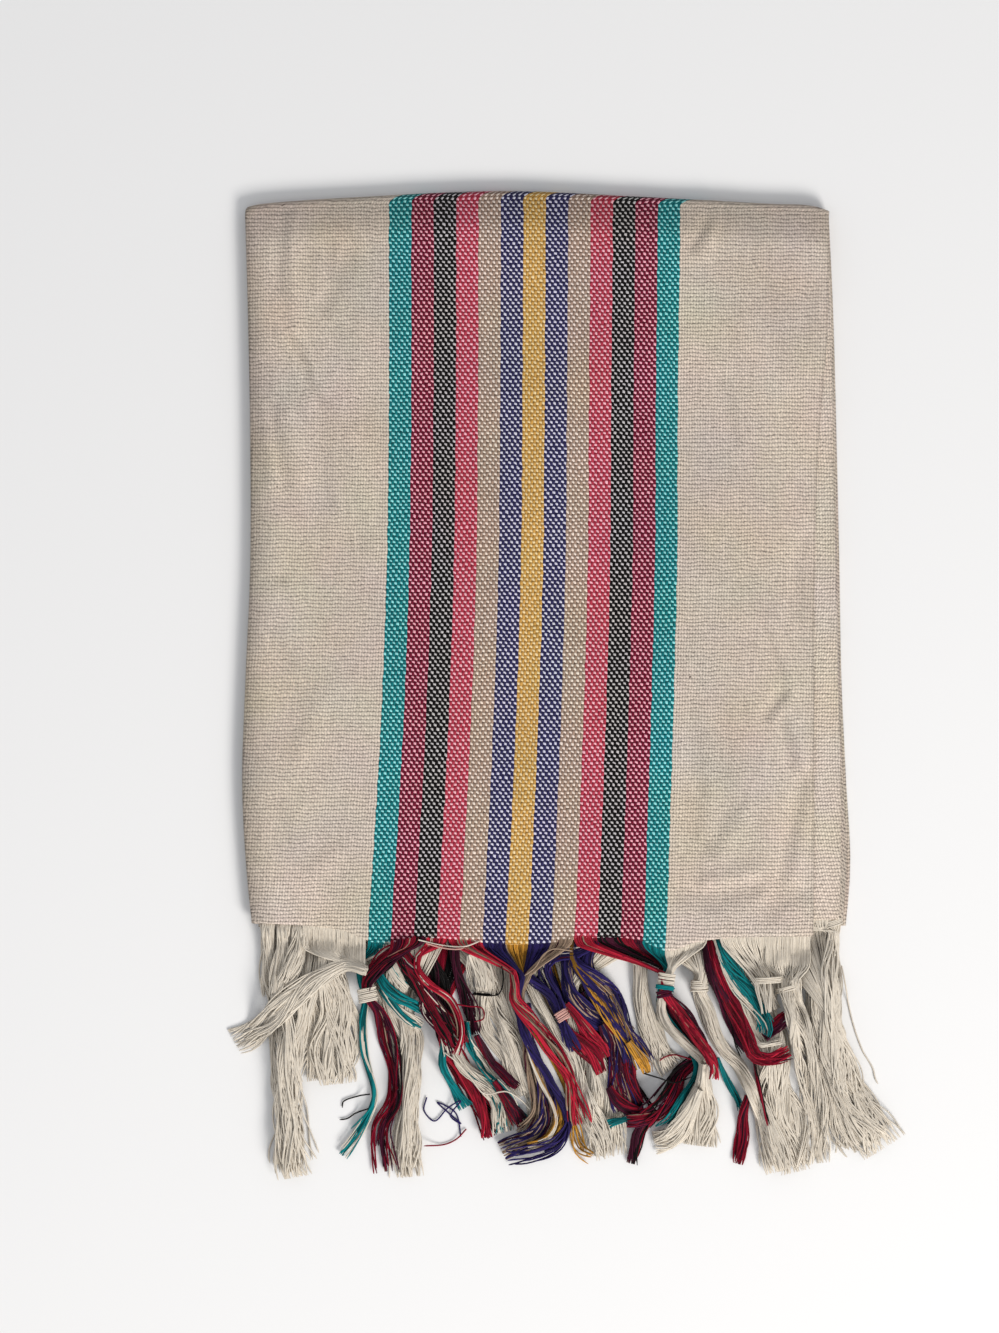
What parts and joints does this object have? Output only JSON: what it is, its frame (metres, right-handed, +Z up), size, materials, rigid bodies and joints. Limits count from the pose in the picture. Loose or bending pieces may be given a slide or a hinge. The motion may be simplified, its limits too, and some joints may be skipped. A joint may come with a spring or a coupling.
{
  "type": "folded hand towel",
  "caption": "Hand-woven cotton hand towel with a striped warp and knotted fringes, folded lengthwise and then crosswise to lie flat.",
  "frame": {"origin": "under the middle of the towel's box, on the surface that it lies on", "axes": "+Y from the fringes to the top fold, +X from the side fold to the selvedges, +Z up"},
  "size_m": [0.255, 0.3788, 0.0122],
  "materials": {
    "woven_cotton": "matt plain weave",
    "cotton_yarn": "matt loose yarn"
  },
  "bodies": {
    "root": {"cloth": "woven_cotton", "fringe_front": "cotton_yarn", "fringe_back": "cotton_yarn"}
  },
  "joints": []
}
